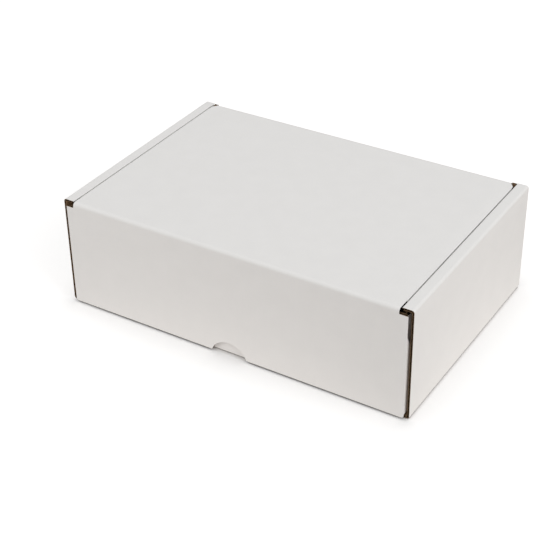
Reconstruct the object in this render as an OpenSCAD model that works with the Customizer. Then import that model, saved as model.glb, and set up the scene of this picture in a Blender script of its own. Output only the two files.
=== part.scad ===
// Corrugated mailer box, folded from one die-cut sheet and shown closed.
// The length runs along X, the front faces -Y and the box stands on Z = 0.
// The sheet is drawn as three pieces, parted at the two folds that open.

/* [Packing space] */
// Length between the inner side walls
inside_l = 190; // [140:1:300]
// Depth between the front wall and the back wall
inside_d = 130; // [100:1:220]
// Height between the base and the lid
inside_h = 60; // [50:1:100]

/* [Board] */
// Thickness of the corrugated board
board_t = 1.2; // [1.15:0.05:1.8]
// Distance from one flute to the next
flute_pitch = 3.2; // [2.8:0.1:4]
// Thickness of each liner and of the fluted layer between them
ply_t = 0.25; // [0.2:0.05:0.3]
// How far the hollows between the flutes are drawn in from a cut edge
flute_cut = 2; // [1:0.5:4]
// Outer radius of the tighter folds at the lid's gaps and at the ears
tight_fold_r = 0.4; // [0.3:0.1:1]
// Inner radius of every fold
inner_r = 0.3; // [0.1:0.1:0.6]
// Outer radius where a side wall rolls over
roll_r = 1.4; // [1:0.1:2.4]
// Outer radius at the lid's front and back folds
lid_fold_r = 2; // [1.4:0.1:2]
// Play between two layers of board that slide past each other
slip = 0.1; // [0.1:0.05:0.3]

/* [Lid] */
// Gap between the lid and the roll on each side
lid_gap = 0.75; // [0.3:0.05:1]
// Play left on each side of a fold that opens
fold_play = 0.1; // [0.05:0.05:0.2]
// Width cut off the lid at each end of its back fold
relief = 2.2; // [0.6:0.1:4]
// How far that cut tapers forward along the lid's side
relief_l = 5; // [3:0.5:6]
// Drop from the lid's top to the back wall's ends that stand in these cuts
relief_drop = 0.4; // [0.2:0.1:2]
// Depth of the dust flaps below the lid
dust_depth = 25; // [15:1:32]
// Space between the dust flaps and the front and back walls
dust_end_gap = 5; // [5:0.5:8]
// Slant of a dust flap's ends
dust_slant = 9; // [8:1:20]
// Radius of a dust flap's corners
dust_corner_r = 4; // [1:0.5:8]

/* [Front flap] */
// Space between the flap and the side walls at the lid
flap_gap = 0.3; // [0.2:0.1:3]
// Space between the flap's foot and the front wall
foot_gap = 0.2; // [0.1:0.1:0.3]
// Space between the flap's foot and the floor
foot_lift = 0.5; // [0.3:0.1:2]
// Drop from the lid's top to the flap's shoulders
shoulder_drop = 2.2; // [2:0.1:6]
// Radius of the flap's lower corners
flap_corner_r = 1.5; // [1:0.1:4]
// Width of the thumb notch
notch_w = 20.8; // [14:0.2:30]
// Height of the thumb notch
notch_h = 7.3; // [4:0.1:9]
// Space beside each ear, up to the outer side wall
ear_space = 1.2; // [0.2:0.1:1.6]
// Length of each ear that tucks in beside the side wall
ear_l = 27; // [18:1:30]
// Height of an ear at its tip
ear_tip_h = 12; // [8:1:14]
// Radius of the corners at an ear's tip
ear_tip_r = 3; // [1:0.5:4]
// Drop from the flap's foot line to an ear's foot
ear_lift = 2; // [1:0.5:4]
// Drop from the lid's top to the start of an ear
ear_drop = 15; // [14:0.5:20]

/* [Tray] */
// Drop from the lid's underside to the tops of the front wall and the corner tabs
wall_drop = 3; // [1:0.5:8]
// Length of each corner tab that folds into a side wall
corner_tab_l = 30; // [15:1:45]
// Slant of a corner tab's edges
corner_tab_slant = 6; // [3:1:10]
// Radius of a corner tab's corners
corner_tab_r = 3; // [1:0.5:8]
// Width of each lock tab under an inner side wall
lock_tab_w = 22; // [12:1:36]
// Distance between the two lock tabs of a side
lock_tab_pitch = 72; // [48:1:78]
// Distance from the floor to a lock tab's end
lock_tab_lift = 0.2; // [0.1:0.1:0.5]

/* [Hidden] */
over = 1;
arc_steps = 6;
board_white = [0.87, 0.865, 0.855];

// Outer radius of a plain fold, a little less than the board's thickness
fold_r = 0.95 * board_t;

// Width of the base that the front and back walls are drawn with
wall_lap = 2 * board_t;

// Widths of a flute hollow at its crest and at its mouth, in half flutes
crest_share = 0.4;
mouth_share = 1.57;

// A side wall holds the corner tab and the ear between its two layers
channel = 2 * board_t + 2 * slip + ear_space;
roll_w = 2 * board_t + channel;

// The box from outside
outer_l = inside_l + 2 * roll_w;
outer_h = inside_h + 2 * board_t;
side_d = inside_d + 2 * board_t;
flap_stand = board_t + flap_gap;
outer_d = side_d + flap_stand;

// Planes across the length
x_out = outer_l / 2;
x_in = inside_l / 2;
x_lid = x_in - lid_gap;
x_ear = x_out - board_t - ear_space;
x_front_tab = x_in + 2 * board_t + slip;
x_back_tab = x_out - board_t - slip;

// Planes across the depth
y_flap = -outer_d / 2;
y_back = outer_d / 2;
y_front = y_flap + flap_stand;
dust_front = y_front + board_t + dust_end_gap;
dust_back = y_back - board_t - dust_end_gap;

// Levels
z_under_lid = outer_h - board_t;
z_end_wall = z_under_lid - wall_drop;
flap_h = outer_h - foot_lift;
flap_lean = asin((flap_gap - foot_gap) / flap_h);

// Turn along a lid fold's outer arc that leaves its share of the fold's play
fold_play_turn = asin(fold_play / lid_fold_r / 2);

function unit(v) = v / norm(v);

function arc(c, r, from, to) =
    [for (i = [0:arc_steps]) let (a = from + (to - from) * i / arc_steps) c + r * [cos(a), sin(a)]];

// Shortest turn from one direction to another
function turn(from, to) = let (d = to - from) d > 180 ? d - 360 : d < -180 ? d + 360 : d;

// Arc of radius r that rounds corner q between its neighbours p and s
function round_corner(p, q, s, r) =
    let (
        u = unit(p - q),
        v = unit(s - q),
        half = acos(u * v) / 2,
        c = q + unit(u + v) * r / sin(half),
        start = q + u * r / tan(half) - c,
        end = q + v * r / tan(half) - c,
        from = atan2(start[1], start[0])
    )
    arc(c, r, from, from + turn(from, atan2(end[1], end[0])));

function flat(lists) = [for (list = lists) for (item = list) item];

// Outline through corners [x, y, radius], where a radius of 0 keeps the corner sharp
function outline(corners) =
    let (n = len(corners), at = [for (c = corners) [c[0], c[1]]])
    flat([
        for (i = [0:n - 1])
            corners[i][2] > 0
                ? round_corner(at[(i + n - 1) % n], at[i], at[(i + 1) % n], corners[i][2])
                : [at[i]]
    ]);

// Extrudes a profile drawn in Y and Z from x0 to x1
module across(x0, x1) {
    translate([x0, 0, 0]) rotate([90, 0, 90]) linear_extrude(x1 - x0) children();
}

// Extrudes a profile drawn in X and Z from y0 to y1
module along(y0, y1) {
    translate([0, y1, 0]) rotate([90, 0, 0]) linear_extrude(y1 - y0) children();
}

module both_sides() {
    children();
    mirror([1, 0, 0]) children();
}

// What a fold of radius r takes off a square outer corner at the origin, towards +x and +y
module corner_waste(r) {
    polygon(concat([[over, over], [-r, over]], arc([-r, -r], r, 90, 0), [[over, -r]]));
}

// Hollows between the flutes along +x, in a board whose faces lie at y = 0 and y = board_t
module flute_hollows(length) {
    step = flute_pitch / 2;
    count = floor(length / step) - 1;
    crest = crest_share * step;
    mouth = mouth_share * step;
    depth = board_t - 3 * ply_t;
    for (i = [0:count - 1])
        translate([length / 2 + (i - (count - 1) / 2) * step, board_t / 2])
            mirror([0, i % 2])
                translate([0, ply_t - board_t / 2])
                    polygon([[-mouth / 2, 0], [mouth / 2, 0], [crest / 2, depth], [-crest / 2, depth]]);
}

// Base, side walls and the strips that they roll over into
module tray_section() {
    half = [
        [0, 0, 0],
        [x_out, 0, fold_r],
        [x_out, outer_h, roll_r],
        [x_in, outer_h, 0],
        [x_in, z_under_lid, 0],
        [x_out - board_t, z_under_lid, inner_r],
        [x_out - board_t, board_t, inner_r],
        [0, board_t, 0],
    ];
    polygon(outline(half));
    mirror([1, 0]) polygon(outline(half));
}

// Inner layer of the right side wall, with lock tabs on its lower edge
module inner_side_wall() {
    y0 = y_front + board_t + slip;
    y1 = y_back - board_t - slip;
    mid = (y0 + y1) / 2;
    foot = board_t + slip;
    nip = board_t / 2;
    across(x_in, x_in + board_t) {
        translate([y0, foot]) square([y1 - y0, outer_h - foot]);
        for (side = [-1, 1])
            translate([mid + side * lock_tab_pitch / 2, 0])
                polygon([
                    [-lock_tab_w / 2, foot + over],
                    [-lock_tab_w / 2, lock_tab_lift + nip],
                    [nip - lock_tab_w / 2, lock_tab_lift],
                    [lock_tab_w / 2 - nip, lock_tab_lift],
                    [lock_tab_w / 2, lock_tab_lift + nip],
                    [lock_tab_w / 2, foot + over],
                ]);
    }
}

// Flute hollows at the ends of the right outer wall and its strip, and of the inner wall
module side_wall_hollows() {
    inner_end = board_t + slip;
    inner_foot = board_t + slip;
    for (side = [-1, 1]) {
        end = side < 0 ? y_front : y_back;
        cut = side * flute_cut;
        along(min(end - cut, end + side), max(end - cut, end + side)) {
            translate([x_out, fold_r]) rotate(90) flute_hollows(outer_h - roll_r - fold_r);
            translate([x_in + board_t, z_under_lid]) flute_hollows(flute_pitch);
        }
        inner = end - side * inner_end;
        along(min(inner - cut, inner + side * slip / 2), max(inner - cut, inner + side * slip / 2))
            translate([x_in + board_t, inner_foot]) rotate(90) flute_hollows(z_under_lid - inner_foot);
    }
}

module lock_tab_slots() {
    mid = (y_front + y_back) / 2;
    for (side = [-1, 1])
        translate([x_in - slip, mid + side * lock_tab_pitch / 2 - lock_tab_w / 2 - slip, -over])
            cube([board_t + 2 * slip, lock_tab_w + 2 * slip, board_t + 2 * over]);
}

// Tab that folds back from a wall's end, as an outline from the fold inwards
module corner_tab_face() {
    drop = corner_tab_l * tan(corner_tab_slant);
    foot = board_t + slip;
    polygon(outline([
        [0, foot, 0],
        [corner_tab_l, foot + drop, corner_tab_r],
        [corner_tab_l, z_end_wall - drop, corner_tab_r],
        [0, z_end_wall, 0],
    ]));
}

// Square corner of a wall that its fold into the corner tab rounds off
module wall_end_waste() {
    linear_extrude(outer_h) corner_waste(fold_r);
}

module front_wall() {
    difference() {
        union() {
            across(-x_front_tab, x_front_tab)
                polygon(outline([
                    [y_front, z_end_wall, 0],
                    [y_front, 0, fold_r],
                    [y_front + board_t + wall_lap, 0, 0],
                    [y_front + board_t + wall_lap, board_t, 0],
                    [y_front + board_t, board_t, inner_r],
                    [y_front + board_t, z_end_wall, 0],
                ]));
            both_sides()
                across(x_front_tab - board_t, x_front_tab)
                    translate([y_front + board_t / 2, 0]) corner_tab_face();
        }
        both_sides()
            translate([x_front_tab, y_front, board_t + slip]) mirror([0, 1]) wall_end_waste();
    }
}

// Part of the back wall above the level of the front wall, from x0 to x1
module back_wall_top(x0, x1, top) {
    across(x0, x1)
        translate([y_back - board_t, z_end_wall - over]) square([board_t, top - z_end_wall + over]);
}

// The back wall reaches the lid's fold, and its ends stand in the cuts at the lid's corners
module back_wall() {
    difference() {
        union() {
            across(-x_back_tab, x_back_tab)
                polygon(outline([
                    [y_back - board_t, z_end_wall, 0],
                    [y_back - board_t, board_t, inner_r],
                    [y_back - board_t - wall_lap, board_t, 0],
                    [y_back - board_t - wall_lap, 0, 0],
                    [y_back, 0, fold_r],
                    [y_back, z_end_wall, 0],
                ]));
            across(relief - x_lid, x_lid - relief)
                polygon(concat(
                    [[y_back - board_t, z_under_lid - fold_play], [y_back - board_t, z_end_wall - over]],
                    [[y_back, z_end_wall - over]],
                    arc([y_back - lid_fold_r, outer_h - lid_fold_r], lid_fold_r, 0, 45 - fold_play_turn)
                ));
            both_sides() {
                back_wall_top(x_lid - relief, x_back_tab, z_under_lid - slip);
                back_wall_top(x_lid - relief + slip, x_in - slip, outer_h - relief_drop);
                across(x_back_tab - board_t, x_back_tab)
                    translate([y_back - board_t / 2, 0]) mirror([1, 0]) corner_tab_face();
            }
        }
        both_sides()
            translate([x_back_tab, y_back, board_t + slip]) wall_end_waste();
    }
}

// Square corners that the tray's folds round off
module tray_fold_waste() {
    both_sides()
        along(y_front - over, y_back + over)
            translate([x_in, outer_h]) mirror([1, 0]) corner_waste(tight_fold_r);
    across(-x_front_tab, x_front_tab) translate([y_front, 0]) rotate(180) corner_waste(fold_r);
    across(-x_back_tab, x_back_tab) translate([y_back, 0]) mirror([0, 1]) corner_waste(fold_r);
}

module tray() {
    color(board_white)
        difference() {
            union() {
                along(y_front, y_back) tray_section();
                both_sides() inner_side_wall();
                front_wall();
                back_wall();
            }
            tray_fold_waste();
            both_sides() {
                side_wall_hollows();
                lock_tab_slots();
            }
        }
}

// Side flap of the lid that stands inside the inner side wall
module dust_flap() {
    foot = z_under_lid - dust_depth;
    shift = dust_depth * tan(dust_slant);
    across(x_lid - board_t, x_lid)
        polygon(outline([
            [dust_front, z_under_lid + board_t / 2, 0],
            [dust_front, z_under_lid, 0],
            [dust_front + shift, foot, dust_corner_r],
            [dust_back - shift, foot, dust_corner_r],
            [dust_back, z_under_lid, 0],
            [dust_back, z_under_lid + board_t / 2, 0],
        ]));
}

// The lid ends in half of its front fold and half of its back fold
module lid_section() {
    polygon(concat(
        [[y_flap + board_t + fold_play, z_under_lid]],
        [[y_back - board_t - fold_play, z_under_lid]],
        arc([y_back - lid_fold_r, outer_h - lid_fold_r], lid_fold_r, 45 + fold_play_turn, 90),
        arc([y_flap + lid_fold_r, outer_h - lid_fold_r], lid_fold_r, 90, 135 - fold_play_turn)
    ));
}

// What is cut off the lid's right rear corner, so that its back fold can turn
module lid_corner_cut() {
    translate([0, 0, outer_h / 2])
        linear_extrude(outer_h)
            polygon([
                [x_lid - relief, y_back + over],
                [x_lid - relief, y_back - lid_fold_r],
                [x_lid, y_back - relief_l],
                [x_lid + over, y_back - relief_l],
                [x_lid + over, y_back + over],
            ]);
}

module lid() {
    color(board_white)
        difference() {
            union() {
                across(-x_lid, x_lid) lid_section();
                both_sides() dust_flap();
            }
            both_sides() {
                along(dust_front, dust_back) translate([x_lid, outer_h]) corner_waste(tight_fold_r);
                lid_corner_cut();
            }
        }
}

// Front face of the flap, from its foot to its fold
module flap_face() {
    shoulder = outer_h - shoulder_drop;
    notch_r = (notch_w * notch_w / 4 + notch_h * notch_h) / 2 / notch_h;
    difference() {
        polygon(outline([
            [-x_ear, foot_lift, flap_corner_r],
            [x_ear, foot_lift, flap_corner_r],
            [x_ear, shoulder, tight_fold_r],
            [x_lid, shoulder, 0],
            [x_lid, outer_h, 0],
            [-x_lid, outer_h, 0],
            [-x_lid, shoulder, 0],
            [-x_ear, shoulder, tight_fold_r],
        ]));
        translate([0, foot_lift + notch_h - notch_r]) circle(r = notch_r, $fn = 48);
    }
}

// Ear that folds back from the flap's end into the side wall
module ear() {
    foot = foot_lift + ear_lift;
    top = outer_h - ear_drop;
    across(x_ear - board_t, x_ear)
        translate([y_flap, 0])
            polygon(outline([
                [board_t / 2, foot, 0],
                [ear_l * 3 / 4, foot, ear_tip_r],
                [ear_l, foot + ear_tip_h / 2, ear_tip_r],
                [ear_l, foot + ear_tip_h * 4 / 3, ear_tip_r],
                [ear_l * 3 / 10, top - ear_l / 2, ear_l * 3 / 10],
                [board_t / 2, top, 0],
            ]));
}

// The flap leans in from the lid's fold until its foot nearly rests on the front wall
module front_flap() {
    color(board_white)
        difference() {
            translate([0, y_flap, outer_h]) rotate([flap_lean, 0, 0]) translate([0, -y_flap, -outer_h])
                difference() {
                    union() {
                        along(y_flap, y_flap + board_t) flap_face();
                        both_sides() ear();
                    }
                    both_sides()
                        translate([x_ear, y_flap, foot_lift + ear_lift])
                            mirror([0, 1]) linear_extrude(outer_h - ear_drop - foot_lift - ear_lift)
                                corner_waste(tight_fold_r);
                }
            across(-x_lid - over, x_lid + over) {
                translate([y_flap, outer_h]) rotate(90) corner_waste(lid_fold_r);
                polygon([
                    [y_flap - over, outer_h + over - fold_play],
                    [y_flap + shoulder_drop, outer_h - shoulder_drop - fold_play],
                    [y_flap + shoulder_drop, outer_h + over],
                ]);
            }
        }
}

tray();
lid();
front_flap();
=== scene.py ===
"""Looks of a folded corrugated mailer box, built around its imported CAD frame.

Every panel is real three-layer board: an outer liner, a fluted medium and an inner liner.
Each is cut from a flat outline in sheet coordinates (u across the flutes, v along them)
and then folded into place. Lengths are in millimetres until a mesh is written.
"""
import math

import bmesh
import bpy
import numpy as np
from mathutils import Matrix, Vector, geometry


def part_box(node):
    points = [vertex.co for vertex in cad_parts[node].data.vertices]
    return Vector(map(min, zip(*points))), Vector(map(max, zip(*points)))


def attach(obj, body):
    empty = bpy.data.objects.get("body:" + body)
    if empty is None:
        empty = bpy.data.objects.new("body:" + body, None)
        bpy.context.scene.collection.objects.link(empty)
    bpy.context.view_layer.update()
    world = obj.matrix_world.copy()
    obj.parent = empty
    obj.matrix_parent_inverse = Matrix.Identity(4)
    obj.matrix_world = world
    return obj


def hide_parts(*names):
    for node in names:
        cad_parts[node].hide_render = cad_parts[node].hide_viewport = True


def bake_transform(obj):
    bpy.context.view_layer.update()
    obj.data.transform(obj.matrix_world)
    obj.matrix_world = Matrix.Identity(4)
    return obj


MM = 0.001

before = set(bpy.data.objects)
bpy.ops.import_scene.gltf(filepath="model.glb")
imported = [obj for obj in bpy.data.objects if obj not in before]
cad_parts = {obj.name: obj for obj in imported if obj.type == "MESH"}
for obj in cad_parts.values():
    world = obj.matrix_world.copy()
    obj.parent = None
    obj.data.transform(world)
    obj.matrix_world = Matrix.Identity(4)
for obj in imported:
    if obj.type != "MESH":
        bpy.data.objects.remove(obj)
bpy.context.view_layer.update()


def cad_box(node):
    """Lowest and highest corners of a CAD node, in millimetres."""
    low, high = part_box(node)
    return np.array(low) / MM, np.array(high) / MM


# Board
BOARD = 1.2
LINER = 0.2
MEDIUM = 0.16
FLUTE_PITCH = 3.2
SLIP = 0.1

# Folds, by the radius of their outer face, and the radius that is left on the inner face
FOLD_R = 1.14
ROLL_R = 1.4
LID_FOLD_R = 2.0
EDGE_R = 0.3
INNER_R = 0.3

# How far the two hidden layers stop short of the middle of a live fold
FOLD_PLAY = 0.1

# Places, from the frame
tray_low, tray_high = cad_box("tray")
X_OUT, Y_BACK, TOP = tray_high
Y_FRONT = tray_low[1]
X_LID = cad_box("lid")[1][0]
X_EAR = cad_box("front_flap")[1][0]

# Front flap, hung before the front wall and leaning in at its foot
FLAP_GAP, FOOT_GAP = 0.3, 0.2
FOOT_LIFT = 0.5
Y_FLAP = Y_FRONT - (BOARD + FLAP_GAP)
FLAP_LEAN = math.asin((FLAP_GAP - FOOT_GAP) / (TOP - FOOT_LIFT))

# Inner side walls beside the lid, and the corner tabs held between the side walls
LID_GAP = 0.75
X_IN = X_LID + LID_GAP
X_FRONT_TAB = X_IN + 2 * BOARD + SLIP
X_BACK_TAB = X_OUT - BOARD - SLIP
WALL_DROP = 3.0
WALL_TOP = TOP - BOARD - WALL_DROP

# Cut at each rear corner of the lid, which the back wall's end fills up to just under the top,
# and the half width of the lid's hinge between the two cuts
RELIEF_W, RELIEF_L, RELIEF_DROP = 2.2, 5.0, 0.4
HINGE_HALF = X_LID - RELIEF_W

# Mesh
GRID = 9.0
ARC_STEPS = 8
RIB_ARC_STEPS = 4
STEPS_PER_FLUTE = 8
LINE_OVERRUN = 1.0
MERGE_DISTANCE = 1e-5
SMOOTH_ANGLE = 35


class Path:
    """Outer face of a folded strip, through corners (p, h, radius), with the board on its right.

    The developed length u is 0 at the middle of the stretch numbered flat."""

    def __init__(self, corners, flat):
        self.at_corner = np.array([c[:2] for c in corners], float)
        self.radius = [c[2] for c in corners]
        run = np.diff(self.at_corner, axis=0)
        length = np.linalg.norm(run, axis=1)
        along = run / length[:, None]
        self.inward = np.stack([along[:, 1], -along[:, 0]], 1)
        self.pieces = []
        u = 0.0
        for i, whole in enumerate(length):
            if i:
                arc = math.pi / 2 * self.radius[i]
                self.pieces.append(("arc", i, u, u + arc))
                u += arc
            straight = whole - self.radius[i] - self.radius[i + 1]
            self.pieces.append(("straight", i, u, u + straight))
            u += straight
        middle = sum(self.span(flat)) / 2
        self.pieces = [(kind, i, a - middle, b - middle) for kind, i, a, b in self.pieces]

    def ends(self, kind, number):
        """Developed start and end of one piece of the strip."""
        return next((a, b) for k, i, a, b in self.pieces if (k, i) == (kind, number))

    def span(self, i):
        """Developed start and end of straight stretch i."""
        return self.ends("straight", i)

    def fold(self, i):
        """Developed start and end of the fold at corner i."""
        return self.ends("arc", i)

    def middle_of_fold(self, i):
        return sum(self.fold(i)) / 2

    def u_at(self, i, distance):
        """Developed coordinate at a distance from corner i along stretch i."""
        return self.span(i)[0] + distance - self.radius[i]

    def lines(self, spacing):
        """Developed coordinates where the mesh needs a line across the strip."""
        found = []
        for kind, _, a, b in self.pieces:
            steps = ARC_STEPS if kind == "arc" else max(1, math.ceil((b - a) / spacing))
            found += list(np.linspace(a, b, steps + 1))
        return sorted(set(np.round(found, 6)))

    def corner_radius(self, i, depth):
        """Radius of fold i at depths below the outer face."""
        return self.radius[i] + (INNER_R - self.radius[i]) * depth / BOARD

    def corner_centre(self, i, depth):
        """Centre of fold i at depths below the outer face."""
        reach = (depth + self.corner_radius(i, depth))[:, None]
        return self.at_corner[i] + reach * (self.inward[i - 1] + self.inward[i])

    def stretch_end(self, i, corner, depth):
        """Where straight stretch i ends at a corner, at depths below the outer face."""
        if corner in (0, len(self.radius) - 1):
            return self.at_corner[corner] + depth[:, None] * self.inward[i]
        centre = self.corner_centre(corner, depth)
        return centre - self.corner_radius(corner, depth)[:, None] * self.inward[i]

    def place(self, u, depth):
        """Points (p, h) at developed coordinates u and depths below the outer face."""
        out = np.zeros((len(u), 2))
        last = len(self.pieces) - 1
        for k, (kind, i, a, b) in enumerate(self.pieces):
            low = -np.inf if k == 0 else a - MERGE_DISTANCE
            high = np.inf if k == last else b + MERGE_DISTANCE
            here = (u >= low) & (u <= high)
            if not here.any():
                continue
            share = ((u[here] - a) / (b - a))[:, None]
            d = depth[here]
            if kind == "straight":
                start = self.stretch_end(i, i, d)
                end = self.stretch_end(i, i + 1, d)
                out[here] = start + share * (end - start)
            else:
                angle = share * math.pi / 2
                normal = np.cos(angle) * self.inward[i - 1] + np.sin(angle) * self.inward[i]
                out[here] = self.corner_centre(i, d) - self.corner_radius(i, d)[:, None] * normal
        return out


class Panel:
    """A flat panel with folds on its sides (along u) and at its ends (along v).

    axes are the world directions of u, v and the outward normal on the unfolded middle.
    print_v is where the panel's v starts on its neighbour's sheet, and its sense there."""

    def __init__(self, u_path, v_path, origin, axes, warp=None, print_v=(0.0, 1.0)):
        self.u_path, self.v_path = u_path, v_path
        self.origin, self.axes = np.array(origin, float), np.array(axes, float)
        self.warp = warp
        self.print_v = print_v

    def place(self, u, v, depth):
        """World points at sheet coordinates and depths below the outer face."""
        across = self.u_path.place(u, depth)
        along = self.v_path.place(v, depth)
        height = across[:, 1] + along[:, 1] + depth
        local = np.stack([across[:, 0], along[:, 0], height], 1)
        world = self.origin + local @ self.axes
        return self.warp(world) if self.warp else world

    def on_print(self, sheet):
        """Sheet coordinates that carry on from the neighbouring panel."""
        start, sense = self.print_v
        return np.stack([sheet[:, 0], start + sense * sheet[:, 1]], 1)


def loop(corners):
    """Closed outline through corners (u, v, radius), with each corner rounded to its radius."""
    points = []
    for i, (u, v, radius) in enumerate(corners):
        corner = np.array([u, v])
        if not radius:
            points.append(corner)
            continue
        back = np.array(corners[i - 1][:2]) - corner
        on = np.array(corners[(i + 1) % len(corners)][:2]) - corner
        back, on = back / np.linalg.norm(back), on / np.linalg.norm(on)
        half = math.acos(np.clip(back @ on, -1, 1)) / 2
        centre = corner + (back + on) / np.linalg.norm(back + on) * radius / math.sin(half)
        start = corner + back * radius / math.tan(half) - centre
        end = corner + on * radius / math.tan(half) - centre
        first = math.atan2(start[1], start[0])
        turn = (math.atan2(end[1], end[0]) - first + math.pi) % (2 * math.pi) - math.pi
        for k in range(ARC_STEPS + 1):
            angle = first + turn * k / ARC_STEPS
            points.append(centre + radius * np.array([math.cos(angle), math.sin(angle)]))
    return np.array(points)


def mirrored(half):
    """Closed outline from its right half, listed from the middle of one end to the middle of the other."""
    return half + [(-u, v, r) for u, v, r in reversed(half)]


def inside(points, outline):
    """Which points lie inside a closed outline, by counting crossings."""
    x, y = points[:, 0], points[:, 1]
    found = np.zeros(len(points), bool)
    for (ax, ay), (bx, by) in zip(outline, np.roll(outline, -1, axis=0)):
        if ay == by:
            continue
        crosses = (ay > y) != (by > y)
        found ^= crosses & (x < (bx - ax) * (y - ay) / (by - ay) + ax)
    return found


def cut_sheet(outline, holes, u_lines, v_lines):
    """Triangles of a flat sheet cut to an outline with holes, with mesh lines across it."""
    verts, edges = [], []
    for ring in [outline, *holes]:
        first = len(verts)
        verts += [Vector(p) for p in ring]
        edges += [(first + i, first + (i + 1) % len(ring)) for i in range(len(ring))]
    low, high = outline.min(0) - LINE_OVERRUN, outline.max(0) + LINE_OVERRUN
    for axis, lines in ((0, u_lines), (1, v_lines)):
        for line in lines:
            if low[axis] < line < high[axis]:
                ends = np.array([low, high])
                ends[:, axis] = line
                edges.append((len(verts), len(verts) + 1))
                verts += [Vector(end) for end in ends]
    co, _, faces, *_ = geometry.delaunay_2d_cdt(verts, edges, [], 0, MERGE_DISTANCE)
    co = np.array([tuple(c) for c in co])
    faces = np.array([f for f in faces if len(f) == 3])
    middle = co[faces].mean(1)
    keep = inside(middle, outline)
    for hole in holes:
        keep &= ~inside(middle, hole)
    used, renamed = np.unique(faces[keep], return_inverse=True)
    return co[used], renamed.reshape(-1, 3)


def rim_edges(faces):
    """Edges that belong to one triangle only, in that triangle's winding."""
    edges = np.concatenate([faces[:, [0, 1]], faces[:, [1, 2]], faces[:, [2, 0]]])
    known = {tuple(e) for e in edges}
    return [tuple(e) for e in edges if (e[1], e[0]) not in known]


def turn_out(obj):
    """Points every shell's faces outwards."""
    bm = bmesh.new()
    bm.from_mesh(obj.data)
    bmesh.ops.recalc_face_normals(bm, faces=bm.faces)
    bm.to_mesh(obj.data)
    bm.free()


def add_piece(name, mesh):
    """Links a mesh as a piece, with faces outwards, smooth shading and sharp cut edges."""
    obj = bpy.data.objects.new(name, mesh)
    bpy.context.scene.collection.objects.link(obj)
    turn_out(obj)
    mesh.shade_smooth()
    mesh.set_sharp_from_angle(angle=math.radians(SMOOTH_ANGLE))
    return obj


class Piece:
    """Gathers closed shells of board into one mesh object."""

    def __init__(self, name, materials):
        self.name, self.materials = name, materials
        self.verts, self.faces, self.slots, self.uv = [], [], [], []
        self.count = 0

    def add_shell(self, panel, sheet, near, far, face, back, rim):
        """A closed shell between depths near and far, each a number or a function of u and v.

        face, back and rim are the materials of its near side, its far side and its cut edges."""
        co, tris = sheet
        u, v = co[:, 0], co[:, 1]
        near = near(u, v) if callable(near) else np.full(len(u), float(near))
        far = far(u, v) if callable(far) else np.full(len(u), float(far))
        n, base = len(co), self.count
        self.verts += [panel.place(u, v, near), panel.place(u, v, far)]
        self.uv += [panel.on_print(co)] * 2
        edges = (np.array(rim_edges(tris)) + base).tolist()
        near_faces = (tris + base).tolist()
        far_faces = (tris[:, ::-1] + base + n).tolist()
        rim_faces = [[b, a, a + n, b + n] for a, b in edges]
        for faces, material in ((near_faces, face), (far_faces, back), (rim_faces, rim)):
            self.faces += faces
            self.slots += [self.materials.index(material)] * len(faces)
        self.count += 2 * n

    def build(self, record_slot):
        mesh = bpy.data.meshes.new(self.name)
        mesh.from_pydata((np.concatenate(self.verts) * MM).tolist(), [], self.faces)
        for material in self.materials:
            mesh.materials.append(material)
        mesh.polygons.foreach_set("material_index", self.slots)
        uv = np.concatenate(self.uv) * MM
        loops = np.zeros(len(mesh.loops), np.int32)
        mesh.loops.foreach_get("vertex_index", loops)
        layer = mesh.uv_layers.new(name="sheet")
        layer.data.foreach_set("uv", uv[loops].astype(np.float32).ravel())
        mesh.update()
        return add_piece(self.name, mesh)


def node(tree, kind, **values):
    """A new node, with each value set on its property or else on its input of that name."""
    made = tree.nodes.new(kind)
    for key, value in values.items():
        if hasattr(made, key):
            setattr(made, key, value)
        else:
            made.inputs[key.replace("_", " ")].default_value = value
    return made


# Paper, with lengths in millimetres and noise scales per metre
CLOUD_SCALE = 90.0
FIBRE_SCALE = (1400.0, 420.0, 1.0)
FIBRE_SHARE = 0.6
TONE_START = 0.5
PAPER_GLOSS, CUT_GLOSS = 0.3, 0.05
# Painted shade on cut ends: their colour darkens where little is open within this reach
PAINTED_SHADE_REACH, PAINTED_SHADE_LEAST, PAINTED_SHADE_OPEN = 6.0, 0.1, 0.85
SHUT = 0.08


def paint_hollow_shade(tree, reach, least, clear):
    """A Mix node that paints shade into its colour A, darker where less is open within reach.

    It keeps all of it where the clear share is open, and the least share where SHUT or less is."""
    free = node(tree, "ShaderNodeAmbientOcclusion", samples=6, Distance=reach * MM)
    share = node(tree, "ShaderNodeMapRange", From_Min=SHUT, From_Max=clear, To_Min=least, To_Max=1.0)
    dimmed = node(tree, "ShaderNodeMix", data_type="RGBA", blend_type="MULTIPLY")
    dimmed.inputs["Factor"].default_value = 1.0
    tree.links.new(free.outputs["AO"], share.inputs["Value"])
    tree.links.new(share.outputs["Result"], dimmed.inputs["B"])
    return dimmed


def paper_pattern(tree, sheet):
    """Soft clouds, and fibres that are longer along the flutes."""
    clouds = node(tree, "ShaderNodeTexNoise", Scale=CLOUD_SCALE, Detail=3.0)
    stretch = node(tree, "ShaderNodeMapping")
    stretch.inputs["Scale"].default_value = FIBRE_SCALE
    fibres = node(tree, "ShaderNodeTexNoise", Scale=1.0, Detail=4.0, Roughness=0.65)
    tree.links.new(sheet, clouds.inputs["Vector"])
    tree.links.new(sheet, stretch.inputs["Vector"])
    tree.links.new(stretch.outputs["Vector"], fibres.inputs["Vector"])
    return clouds.outputs["Fac"], fibres.outputs["Fac"]


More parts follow.
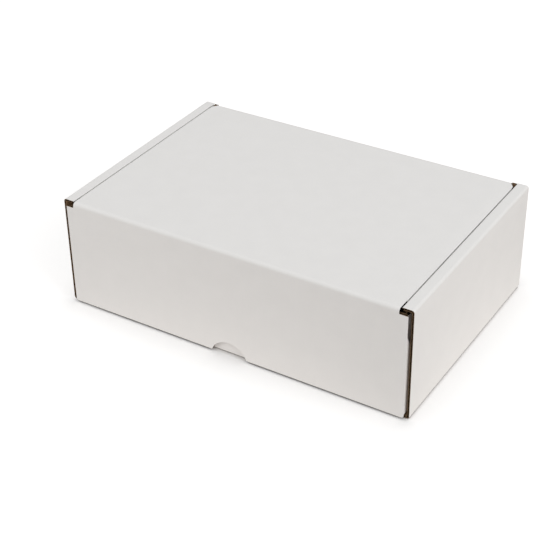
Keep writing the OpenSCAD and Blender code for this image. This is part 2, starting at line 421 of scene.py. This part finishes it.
def paper_colour(tree, clouds, fibres, colour, spread):
    """The colour, darker and lighter by its spread where the clouds and fibres are."""
    mottle = node(tree, "ShaderNodeMath", operation="MULTIPLY_ADD")
    mottle.inputs[1].default_value = FIBRE_SHARE
    ramp = node(tree, "ShaderNodeValToRGB")
    dark, light = ramp.color_ramp.elements
    dark.position = TONE_START
    dark.color = (*[c * (1 - spread) for c in colour], 1)
    light.color = (*[min(1.0, c * (1 + spread)) for c in colour], 1)
    tree.links.new(fibres, mottle.inputs[0])
    tree.links.new(clouds, mottle.inputs[2])
    tree.links.new(mottle.outputs["Value"], ramp.inputs["Fac"])
    return ramp.outputs["Color"]


def paper_bump(tree, sheet, fibres, washboard, fibre):
    """Normals of the flutes that show faintly through the liner, with the fibres over them."""
    split = node(tree, "ShaderNodeSeparateXYZ")
    phase = node(tree, "ShaderNodeMath", operation="MULTIPLY")
    phase.inputs[1].default_value = 2 * math.pi / (FLUTE_PITCH * MM)
    wave = node(tree, "ShaderNodeMath", operation="SINE")
    flutes = node(tree, "ShaderNodeBump", Distance=washboard * MM)
    grain = node(tree, "ShaderNodeBump", Distance=fibre * MM)
    tree.links.new(sheet, split.inputs["Vector"])
    tree.links.new(split.outputs["X"], phase.inputs[0])
    tree.links.new(phase.outputs["Value"], wave.inputs[0])
    tree.links.new(wave.outputs["Value"], flutes.inputs["Height"])
    tree.links.new(fibres, grain.inputs["Height"])
    tree.links.new(flutes.outputs["Normal"], grain.inputs["Normal"])
    return grain.outputs["Normal"]


def paper(name, colour, spread, fibre, washboard, roughness, cut_with_painted_shade=False):
    """Paper with mottled fibres. A cut end gets low gloss and painted shade, darker where it lies deep."""
    material = bpy.data.materials.new(name)
    material.use_nodes = True
    tree = material.node_tree
    shader = tree.nodes["Principled BSDF"]
    shader.inputs["Roughness"].default_value = roughness
    shader.inputs["Specular IOR Level"].default_value = CUT_GLOSS if cut_with_painted_shade else PAPER_GLOSS
    sheet = node(tree, "ShaderNodeUVMap", uv_map="sheet").outputs["UV"]
    clouds, fibres = paper_pattern(tree, sheet)
    base = paper_colour(tree, clouds, fibres, colour, spread)
    if cut_with_painted_shade:
        # Painted shade: ambient occlusion darkens the colour in slots, rims and other deep places
        dimmed = paint_hollow_shade(tree, PAINTED_SHADE_REACH, PAINTED_SHADE_LEAST, PAINTED_SHADE_OPEN)
        tree.links.new(base, dimmed.inputs["A"])
        base = dimmed.outputs["Result"]
    tree.links.new(base, shader.inputs["Base Color"])
    tree.links.new(paper_bump(tree, sheet, fibres, washboard, fibre), shader.inputs["Normal"])
    return material


WHITE_LINER = dict(spread=0.012, fibre=0.012, washboard=0.006, roughness=0.62)
KRAFT_LINER = dict(spread=0.12, fibre=0.03, washboard=0.02, roughness=0.8)
# Cut ends: fibres, low gloss, and painted shade where they lie deep
CUT_END = dict(fibre=0.03, washboard=0.0, roughness=0.85, cut_with_painted_shade=True)
WHITE = paper("white_liner", (0.80, 0.79, 0.777), **WHITE_LINER)
KRAFT = paper("kraft_liner", (0.34, 0.215, 0.12), **KRAFT_LINER)
# Fluting and cut edges: the board's own kraft brown, made darker so slots and rims read dark, partly
# painted shade
SHADED_CORE = paper("fluted_core_shaded", (0.10, 0.062, 0.034), spread=0.15, **CUT_END)
SHADED_CUT = paper("cut_liner_shaded", (0.21, 0.138, 0.08), spread=0.08, **CUT_END)


def wave_near(u, v):
    """Depth of the medium's upper face."""
    reach = BOARD / 2 - LINER - MEDIUM / 2
    return BOARD / 2 + reach * np.sin(2 * math.pi * u / FLUTE_PITCH) - MEDIUM / 2


def wave_far(u, v):
    """Depth of the medium's lower face."""
    return wave_near(u, v) + MEDIUM


class Board:
    """The three layers of one body, gathered panel by panel."""

    def __init__(self, body, record_slot):
        self.body, self.record_slot = body, record_slot
        self.outer = Piece(body + "_outer_liner", [WHITE, KRAFT, SHADED_CUT])
        self.medium = Piece(body + "_fluting", [SHADED_CORE])
        self.inner = Piece(body + "_inner_liner", [KRAFT, SHADED_CORE, SHADED_CUT])

    def add(self, panel, skin, holes=(), core=None):
        """Adds a panel cut to skin; core is the outline of its two hidden layers where that differs."""
        core = skin if core is None else core
        across, along = panel.u_path.lines(GRID), panel.v_path.lines(GRID)
        outer, inner = (cut_sheet(outline, holes, across, along) for outline in (skin, core))
        self.outer.add_shell(panel, outer, 0, LINER, WHITE, KRAFT, SHADED_CUT)
        self.inner.add_shell(panel, inner, BOARD - LINER, BOARD, SHADED_CORE, KRAFT, SHADED_CUT)
        step = FLUTE_PITCH / STEPS_PER_FLUTE
        ribs = step * np.arange(math.ceil(core[:, 0].min() / step), core[:, 0].max() / step)
        arcs = [(a, b) for kind, _, a, b in panel.v_path.pieces if kind == "arc"]
        folds = [v for a, b in arcs for v in np.linspace(a, b, RIB_ARC_STEPS + 1)]
        medium = cut_sheet(core, holes, ribs, folds)
        self.medium.add_shell(panel, medium, wave_near, wave_far, SHADED_CORE, SHADED_CORE, SHADED_CORE)

    def build(self):
        made = [piece.build(self.record_slot) for piece in (self.outer, self.medium, self.inner)]
        for obj in made:
            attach(obj, self.body)
        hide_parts(self.body)


# The lid's folds, which the back wall and the front flap carry on from
STUB = 8.0
DUST_DEPTH = 25.0
lid_u = Path(
    [
        (-X_LID, -BOARD - DUST_DEPTH, 0),
        (-X_LID, 0, EDGE_R),
        (X_LID, 0, EDGE_R),
        (X_LID, -BOARD - DUST_DEPTH, 0),
    ],
    flat=1,
)
lid_v = Path(
    [
        (Y_FLAP, -STUB, 0),
        (Y_FLAP, 0, LID_FOLD_R),
        (Y_BACK, 0, LID_FOLD_R),
        (Y_BACK, -STUB, 0),
    ],
    flat=1,
)


def lid_sheet(warp=None):
    """The lid's folds, placed in the world."""
    return Panel(lid_u, lid_v, (0, 0, TOP), ((1, 0, 0), (0, 1, 0), (0, 0, 1)), warp=warp)


# Tray: base, outer side walls, rolled strips and inner side walls with lock tabs
INNER_FOOT = BOARD + SLIP
LOCK_TAB_W = 22.0
LOCK_TAB_MIDDLES = (-36.0, 36.0)
LOCK_TAB_LIFT = 0.2
LOCK_TAB_NIP = BOARD / 2
HALF_DEPTH = (Y_BACK - Y_FRONT) / 2
side_path = Path(
    [
        (-X_IN, -INNER_FOOT, 0),
        (-X_IN, -TOP, EDGE_R),
        (-X_OUT, -TOP, ROLL_R),
        (-X_OUT, 0, FOLD_R),
        (X_OUT, 0, FOLD_R),
        (X_OUT, -TOP, ROLL_R),
        (X_IN, -TOP, EDGE_R),
        (X_IN, -INNER_FOOT, 0),
    ],
    flat=3,
)
depth_path = Path([(Y_FRONT, 0, 0), (Y_BACK, 0, 0)], flat=0)

FRONT_SAG, SAG_REACH = 0.7, 30.0


def smoothstep(x):
    x = np.clip(x, 0, 1)
    return x * x * (3 - 2 * x)


def sag(points):
    """Lets the middle of the front wall bend inwards, and the base's front edge with it."""
    across = np.cos(np.clip(points[:, 0] / X_FRONT_TAB, -1, 1) * math.pi / 2) ** 2
    along = 1 - smoothstep((points[:, 1] - Y_FRONT - 2 * BOARD) / SAG_REACH)
    moved = points.copy()
    moved[:, 1] += FRONT_SAG * across * along
    return moved


def base_outline():
    """The base with its side walls, rolls and lock tabs, and the four slots that hold the tabs."""
    strip_end, wall_foot = side_path.span(6)
    wall_v = HALF_DEPTH - BOARD - SLIP
    tab_foot = wall_foot + INNER_FOOT - LOCK_TAB_LIFT
    tabs = []
    for middle in LOCK_TAB_MIDDLES:
        a, b = middle - LOCK_TAB_W / 2, middle + LOCK_TAB_W / 2
        tabs += [
            (wall_foot, a, 0),
            (tab_foot - LOCK_TAB_NIP, a, 0),
            (tab_foot, a + LOCK_TAB_NIP, 0),
            (tab_foot, b - LOCK_TAB_NIP, 0),
            (tab_foot - LOCK_TAB_NIP, b, 0),
            (wall_foot, b, 0),
        ]
    half = [
        (X_FRONT_TAB, FOLD_R - HALF_DEPTH, 0),
        (X_FRONT_TAB, -HALF_DEPTH, 0),
        (strip_end, -HALF_DEPTH, 0),
        (strip_end, -wall_v, 0),
        (wall_foot, -wall_v, 0),
        *tabs,
        (wall_foot, wall_v, 0),
        (strip_end, wall_v, 0),
        (strip_end, HALF_DEPTH, 0),
        (X_BACK_TAB, HALF_DEPTH, 0),
        (X_BACK_TAB, HALF_DEPTH - FOLD_R, 0),
    ]
    slots = []
    for side in (-1, 1):
        x0, x1 = sorted((side * (X_IN - SLIP), side * (X_IN + BOARD + SLIP)))
        for middle in LOCK_TAB_MIDDLES:
            a, b = middle - LOCK_TAB_W / 2 - SLIP, middle + LOCK_TAB_W / 2 + SLIP
            slots.append(loop([(x0, a, 0), (x1, a, 0), (x1, b, 0), (x0, b, 0)]))
    return loop(mirrored(half)), slots


CORNER_TAB_L, CORNER_TAB_R = 30.0, 3.0
CORNER_TAB_SLANT = math.radians(6)


def end_wall_panel(x_tab, y_wall, outward, joins_lid=False, warp=None):
    """Folds of the front or back wall. One that joins the lid carries on its print."""
    u_path = Path(
        [
            (-x_tab, -CORNER_TAB_L, 0),
            (-x_tab, 0, FOLD_R),
            (x_tab, 0, FOLD_R),
            (x_tab, -CORNER_TAB_L, 0),
        ],
        flat=1,
    )
    v_path = Path([(0, -STUB, 0), (0, 0, FOLD_R), (TOP, 0, LID_FOLD_R), (TOP, -STUB, 0)], flat=1)
    print_v = (lid_v.middle_of_fold(2) + v_path.middle_of_fold(2), -1.0) if joins_lid else (0.0, 1.0)
    axes = ((1, 0, 0), (0, 0, 1), (0, outward, 0))
    return Panel(u_path, v_path, (0, y_wall, 0), axes, warp=warp, print_v=print_v)


def half_wall(panel):
    """Right half of an end wall's outline, from its foot round the corner tab to the wall's top."""
    at = panel.v_path.u_at(1, 0)
    drop = CORNER_TAB_L * math.tan(CORNER_TAB_SLANT)
    start, end = panel.u_path.span(1)[1], panel.u_path.span(2)[1]
    return [
        (start, panel.v_path.span(0)[1], 0),
        (start, at + INNER_FOOT, 0),
        (end, at + INNER_FOOT + drop, CORNER_TAB_R),
        (end, at + WALL_TOP - drop, CORNER_TAB_R),
        (start, at + WALL_TOP, 0),
    ]


def add_front_wall(board):
    panel = end_wall_panel(X_FRONT_TAB, Y_FRONT, -1, warp=sag)
    board.add(panel, loop(mirrored(half_wall(panel))))


def add_back_wall(board):
    """The back wall, up to the lid's fold between the two cuts, and its raised ends in them."""
    panel = end_wall_panel(X_BACK_TAB, Y_BACK, 1, joins_lid=True)
    half = half_wall(panel) + [(HINGE_HALF, panel.v_path.u_at(1, 0) + WALL_TOP, 0)]
    skin = half + [(HINGE_HALF, panel.v_path.span(1)[1], 0)]
    core = half + [(HINGE_HALF, panel.v_path.middle_of_fold(2) - FOLD_PLAY, 0)]
    board.add(panel, loop(mirrored(skin)), (), loop(mirrored(core)))
    for side in (-1, 1):
        board.add(*wall_end(panel, side))


def wall_end(wall, side):
    """Upper end of the back wall on one side, which stands in the cut at the lid's corner."""
    v_path = Path([(0, 0, 0), (TOP, 0, 0)], flat=0)
    at = v_path.u_at(0, 0)
    start = wall.print_v[0] - wall.v_path.u_at(1, 0) + at
    panel = Panel(wall.u_path, v_path, wall.origin, wall.axes, print_v=(start, -1.0))
    outer = wall.u_path.span(1)[1]
    under = TOP - BOARD - SLIP
    corners = [
        (HINGE_HALF, WALL_TOP),
        (outer, WALL_TOP),
        (outer, under),
        (X_IN - SLIP, under),
        (X_IN - SLIP, TOP - RELIEF_DROP),
        (HINGE_HALF + SLIP, TOP - RELIEF_DROP),
        (HINGE_HALF + SLIP, under),
        (HINGE_HALF, under),
    ]
    return panel, loop([(side * u, at + z, 0) for u, z in corners[::side]])


tray = Board("tray", "tray_board")
base_axes = ((1, 0, 0), (0, 1, 0), (0, 0, -1))
tray.add(Panel(side_path, depth_path, (0, 0, 0), base_axes, warp=sag), *base_outline())
add_front_wall(tray)
add_back_wall(tray)
tray.build()

# Lid: panel between the strips, with a dust flap folded down on each side
DUST_END_GAP = 5.0
DUST_SLANT = math.radians(9)
DUST_R = 4.0
DUST_START = 0.75


def lid_outline(front, back):
    """The lid between v lines front and back. The dust flaps start part of the way round its side folds."""
    dust_front = lid_v.u_at(1, Y_FRONT + BOARD + DUST_END_GAP - Y_FLAP)
    dust_back = lid_v.u_at(1, Y_BACK - BOARD - DUST_END_GAP - Y_FLAP)
    relief_start = lid_v.u_at(1, Y_BACK - RELIEF_L - Y_FLAP)
    fold_start, fold_end = lid_u.fold(2)
    edge = (1 - DUST_START) * fold_start + DUST_START * fold_end
    foot = lid_u.span(2)[1]
    slant = DUST_DEPTH * math.tan(DUST_SLANT)
    half = [
        (edge, front, 0),
        (edge, dust_front, 0),
        (foot, dust_front + slant, DUST_R),
        (foot, dust_back - slant, DUST_R),
        (edge, dust_back, 0),
        (edge, relief_start, 0),
        (HINGE_HALF, lid_v.span(1)[1], 0),
        (HINGE_HALF, back, 0),
    ]
    return loop(mirrored(half))


lid = Board("lid", "lid_board")
lid_core = lid_outline(lid_v.middle_of_fold(1) + FOLD_PLAY, lid_v.middle_of_fold(2) - FOLD_PLAY)
lid.add(lid_sheet(), lid_outline(*lid_v.span(1)), (), lid_core)
lid.build()

# Front flap: face with the thumb notch, and an ear folded back at each end
SHOULDER_DROP = 3.0
FOOT_R = 1.5
NOTCH_W, NOTCH_H = 20.8, 7.3
NOTCH_STEPS = 12
EAR_L = 27.0
EAR_FOOT_LIFT = 2.0
EAR_DROP = 15.0
EAR_TIP_START = 0.75 * EAR_L
EAR_TIP_LOW, EAR_TIP_HIGH, EAR_TIP_R = 6.0, 16.0, 3.0
EAR_NECK, EAR_NECK_FALL, EAR_NECK_R = 0.3 * EAR_L, 0.5 * EAR_L, 0.3 * EAR_L


def lean(points, share=1.0):
    """Turns points of the upright flap about the lid's front corner, by a share of its full lean."""
    pivot = np.array([0, Y_FLAP, TOP])
    angle = FLAP_LEAN * share
    c, s = np.cos(angle), np.sin(angle)
    x, y, z = (points - pivot).T
    return pivot + np.stack([x, c * y - s * z, s * y + c * z], 1)


flap_u = Path([(-X_EAR, -EAR_L, 0), (-X_EAR, 0, EDGE_R), (X_EAR, 0, EDGE_R), (X_EAR, -EAR_L, 0)], flat=1)
flap_v = Path([(0, 0, 0), (TOP, 0, LID_FOLD_R), (TOP, -STUB, 0)], flat=0)


def half_notch(foot):
    """Right half of the thumb notch over the flap's foot, as an arc from its top down."""
    radius = (NOTCH_W**2 / 4 + NOTCH_H**2) / 2 / NOTCH_H
    centre = foot + NOTCH_H - radius
    half_turn = math.asin(NOTCH_W / 2 / radius)
    turns = [half_turn * k / NOTCH_STEPS for k in range(NOTCH_STEPS + 1)]
    return [(radius * math.sin(turn), centre + radius * math.cos(turn), 0) for turn in turns]


def flap_outline(fold):
    """The front flap up to the v line fold, with its ears."""
    at = flap_v.u_at(0, 0)
    shoulder = at + TOP - SHOULDER_DROP
    foot = at + FOOT_LIFT
    ear_foot = foot + EAR_FOOT_LIFT
    ear_top = at + TOP - EAR_DROP
    ear_start = flap_u.u_at(2, 0)
    face_end, tip = flap_u.span(2)
    top, *notch = half_notch(foot)
    half = [
        *notch,
        (face_end, foot, FOOT_R),
        (face_end, ear_foot, 0),
        (ear_start + EAR_TIP_START, ear_foot, EAR_TIP_R),
        (tip, ear_foot + EAR_TIP_LOW, EAR_TIP_R),
        (tip, ear_foot + EAR_TIP_HIGH, EAR_TIP_R),
        (ear_start + EAR_NECK, ear_top - EAR_NECK_FALL, EAR_NECK_R),
        (face_end, ear_top, 0),
        (face_end, shoulder, EDGE_R),
        (X_LID, shoulder, 0),
        (X_LID, fold, 0),
    ]
    return loop([top, *mirrored(half)])


front_flap = Board("front_flap", "flap_board")
flap_print = (lid_v.middle_of_fold(1) - flap_v.middle_of_fold(1), 1.0)
flap_axes = ((1, 0, 0), (0, 0, 1), (0, -1, 0))
flap_panel = Panel(flap_u, flap_v, (0, Y_FLAP, 0), flap_axes, warp=lean, print_v=flap_print)
flap_core = flap_outline(flap_v.middle_of_fold(1) - FOLD_PLAY)
front_flap.add(flap_panel, flap_outline(flap_v.span(0)[1]), (), flap_core)
front_flap.build()

# Live folds: the outer liner runs round each fold, and a scored bead bridges its inside
BEAD_END_GAP = 0.2
BEAD_HALF, BEAD_SHOULDER, BEAD_RIDGE, BEAD_THICK = 0.1, 0.25, 0.38, 0.2


def outer_crease(name, fold, half_width, y_corner, inward, leaning=False):
    """Outer liner round the lid's fold at rest. A leaning one takes the flap's full lean at the flap's end
    of the fold, fading to none at the lid.
    """
    a, b = lid_v.fold(fold)
    start = np.array([0, y_corner, TOP - LID_FOLD_R])
    end = np.array([0, y_corner + inward * LID_FOLD_R, TOP])

    def fading_lean(points):
        run = end - start
        return lean(points, 1 - smoothstep((points - start) @ run / (run @ run)))

    outline = loop([(-half_width, a, 0), (half_width, a, 0), (half_width, b, 0), (-half_width, b, 0)])
    sheet = cut_sheet(outline, (), lid_u.lines(GRID), lid_v.lines(GRID))
    piece = Piece(name, [WHITE, KRAFT, SHADED_CUT])
    piece.add_shell(lid_sheet(fading_lean if leaning else None), sheet, 0, LINER, WHITE, KRAFT, SHADED_CUT)
    crease = piece.build("lid_board")
    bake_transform(crease)


def inner_crease(name, half_width, y_corner, inward):
    """Scored bead inside a live fold, tucked into the mitre while the fold is closed."""
    corner = np.array([y_corner, TOP])
    deep = np.array([inward, -1.0]) / math.sqrt(2)
    aside = np.array([inward, 1.0]) / math.sqrt(2)
    reach = (BOARD + INNER_R) * math.sqrt(2) - INNER_R
    profile = [
        (reach, -BEAD_HALF),
        (reach - BEAD_SHOULDER, -BEAD_HALF / 2),
        (reach - BEAD_RIDGE, 0.0),
        (reach - BEAD_SHOULDER, BEAD_HALF / 2),
        (reach, BEAD_HALF),
    ]
    ring = profile + [(d - BEAD_THICK, n) for d, n in reversed(profile)]
    verts = [(x, *(corner + deep * d + aside * n)) for x in (-half_width, half_width) for d, n in ring]
    count = len(ring)
    faces = [(i, (i + 1) % count, (i + 1) % count + count, i + count) for i in range(count)]
    faces += [tuple(range(count)), tuple(range(2 * count - 1, count - 1, -1))]
    mesh = bpy.data.meshes.new(name)
    mesh.from_pydata((np.array(verts) * MM).tolist(), [], faces)
    mesh.materials.append(KRAFT)
    layer = mesh.uv_layers.new(name="sheet")
    for mesh_corner, spot in zip(mesh.loops, layer.data):
        x, y, z = mesh.vertices[mesh_corner.vertex_index].co
        spot.uv = (x, y + z)
    bead = add_piece(name, mesh)
    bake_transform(bead)


outer_crease("front_crease", 1, X_LID, Y_FLAP, 1, leaning=True)
inner_crease("front_score", X_LID - BEAD_END_GAP, Y_FLAP, 1)
outer_crease("back_crease", 2, HINGE_HALF, Y_BACK, -1)
inner_crease("back_score", HINGE_HALF - BEAD_END_GAP, Y_BACK, -1)

# Camera, fitted to the photograph's corners
FRAME_PX = 555
SENSOR = 36.0
CAMERA_FOCAL_PX = 1350.0
CAMERA_AZIMUTH, CAMERA_ELEVATION, CAMERA_ROLL = 33.268, 32.726, -1.549
CAMERA_ASIDE, CAMERA_UP, CAMERA_AWAY = -26.507, 16.291, 734.983
CAMERA_SHIFT_PX = (30, -15)


def make_camera():
    a, e, r = (math.radians(x) for x in (CAMERA_AZIMUTH, CAMERA_ELEVATION, CAMERA_ROLL))
    back = Vector((math.sin(a) * math.cos(e), -math.cos(a) * math.cos(e), math.sin(e)))
    right = Vector((math.cos(a), math.sin(a), 0))
    up = back.cross(right)
    right, up = right * math.cos(r) + up * math.sin(r), up * math.cos(r) - right * math.sin(r)
    data = bpy.data.cameras.new("camera")
    data.sensor_width = SENSOR
    data.lens = CAMERA_FOCAL_PX / FRAME_PX * SENSOR
    data.shift_x, data.shift_y = (px / FRAME_PX for px in CAMERA_SHIFT_PX)
    data.clip_start, data.clip_end = 0.01, 20
    camera = bpy.data.objects.new("camera", data)
    bpy.context.scene.collection.objects.link(camera)
    place = (right * CAMERA_ASIDE + up * CAMERA_UP + back * CAMERA_AWAY) * MM
    camera.matrix_world = Matrix.Translation(place) @ Matrix((right, up, back)).transposed().to_4x4()
    bpy.context.scene.camera = camera


# Light, in metres and watts: an even room under a soft overhead lamp
ROOM = 0.62
AIM = Vector((0, 0, 0.03))

# Pale floor, lit by the lamps and glowing a little. On the box its glow is FLOOR_NEAR beside it and
# FLOOR_FAR away from it. For the camera it grows from nothing beside the box to FLOOR_CLEAR, a painted
# shadow round the box's foot.
FLOOR_SIZE = 6
FLOOR_DROP = 0.5 * MM
FLOOR_TINT = (1.0, 0.945, 0.9)
FLOOR_ALBEDO, FLOOR_SEEN = 0.5, 1.085
FLOOR_NEAR, FLOOR_FAR, FLOOR_CLEAR = 0.48, 0.13, 0.15
FLOOR_REACH = 2.2
# Painted contact shadow: for the camera the floor's white darkens by ambient occlusion within this reach
CONTACT_SHADOW_REACH, CONTACT_SHADOW_LEAST, CONTACT_SHADOW_OPEN = 3.0, 0.08, 0.62


def floor_colour(tree, seen):
    """A tinted grey where light bounces off, and for the camera a white with painted contact shadow at the
    box's foot.
    """
    # Painted contact shadow at the box's foot
    white = paint_hollow_shade(tree, CONTACT_SHADOW_REACH, CONTACT_SHADOW_LEAST, CONTACT_SHADOW_OPEN)
    white.inputs["A"].default_value = (*[FLOOR_SEEN] * 3, 1)
    colour = node(tree, "ShaderNodeMix", data_type="RGBA")
    colour.inputs["A"].default_value = (*[FLOOR_ALBEDO * c for c in FLOOR_TINT], 1)
    tree.links.new(seen, colour.inputs["Factor"])
    tree.links.new(white.outputs["Result"], colour.inputs["B"])
    return colour.outputs["Result"]


def floor_glow(tree, seen):
    """Glow by the distance in box sizes, from 1 at the box's walls to the reach. The camera's glow is none
    by the walls, a painted shadow round the box.
    """
    place = node(tree, "ShaderNodeTexCoord")
    in_boxes = node(tree, "ShaderNodeMapping")
    in_boxes.inputs["Scale"].default_value = (1 / (X_OUT * MM), 1 / (Y_BACK * MM), 0)
    away = node(tree, "ShaderNodeVectorMath", operation="LENGTH")
    glow = node(tree, "ShaderNodeMix", data_type="FLOAT")
    tree.links.new(place.outputs["Object"], in_boxes.inputs["Vector"])
    tree.links.new(in_boxes.outputs["Vector"], away.inputs[0])
    tree.links.new(seen, glow.inputs["Factor"])
    # A is the glow that lights the box; B is the camera's, which fades out near the box as painted shadow
    for socket, near, far in (("A", FLOOR_NEAR, FLOOR_FAR), ("B", 0.0, FLOOR_CLEAR)):
        fade = node(tree, "ShaderNodeMapRange", From_Min=1.0, From_Max=FLOOR_REACH, To_Min=near, To_Max=far)
        fade.interpolation_type = "SMOOTHSTEP"
        tree.links.new(away.outputs["Value"], fade.inputs["Value"])
        tree.links.new(fade.outputs["Result"], glow.inputs[socket])
    return glow.outputs["Result"]


def make_floor():
    bpy.ops.mesh.primitive_plane_add(size=FLOOR_SIZE)
    floor = bpy.context.object
    floor.name = "floor"
    floor.location.z = -FLOOR_DROP
    material = bpy.data.materials.new("floor")
    material.use_nodes = True
    tree = material.node_tree
    tree.nodes.clear()
    seen = node(tree, "ShaderNodeLightPath").outputs["Is Camera Ray"]
    dull = node(tree, "ShaderNodeBsdfDiffuse")
    light = node(tree, "ShaderNodeEmission", Color=(*FLOOR_TINT, 1))
    both = node(tree, "ShaderNodeAddShader")
    out = node(tree, "ShaderNodeOutputMaterial")
    tree.links.new(floor_colour(tree, seen), dull.inputs["Color"])
    tree.links.new(floor_glow(tree, seen), light.inputs["Strength"])
    tree.links.new(dull.outputs["BSDF"], both.inputs[0])
    tree.links.new(light.outputs["Emission"], both.inputs[1])
    tree.links.new(both.outputs["Shader"], out.inputs["Surface"])
    floor.data.materials.append(material)


def make_world():
    world = bpy.data.worlds.new("studio")
    bpy.context.scene.world = world
    world.use_nodes = True
    tree = world.node_tree
    background = tree.nodes["Background"]
    background.inputs["Color"].default_value = (1, 1, 1, 1)
    seen = node(tree, "ShaderNodeLightPath")
    strength = node(tree, "ShaderNodeMapRange", To_Min=ROOM, To_Max=1.0)
    tree.links.new(seen.outputs["Is Camera Ray"], strength.inputs["Value"])
    tree.links.new(strength.outputs["Result"], background.inputs["Strength"])


def area_light(name, place, size, power):
    data = bpy.data.lights.new(name, "AREA")
    data.shape, data.size, data.energy = "DISK", size, power
    light = bpy.data.objects.new(name, data)
    light.location = place
    light.rotation_mode = "QUATERNION"
    light.rotation_quaternion = (AIM - light.location).to_track_quat("-Z", "Y")
    bpy.context.scene.collection.objects.link(light)


make_camera()
make_floor()
make_world()
area_light("overhead", (-0.1, 0.1, 2.0), size=1.0, power=8.1)
area_light("side", (1.2, -0.3, 0.5), size=0.8, power=4.5)
area_light("front_left", (-0.5, -0.5, 0.12), size=0.3, power=0.75)
bpy.context.scene.view_settings.view_transform = "Standard"
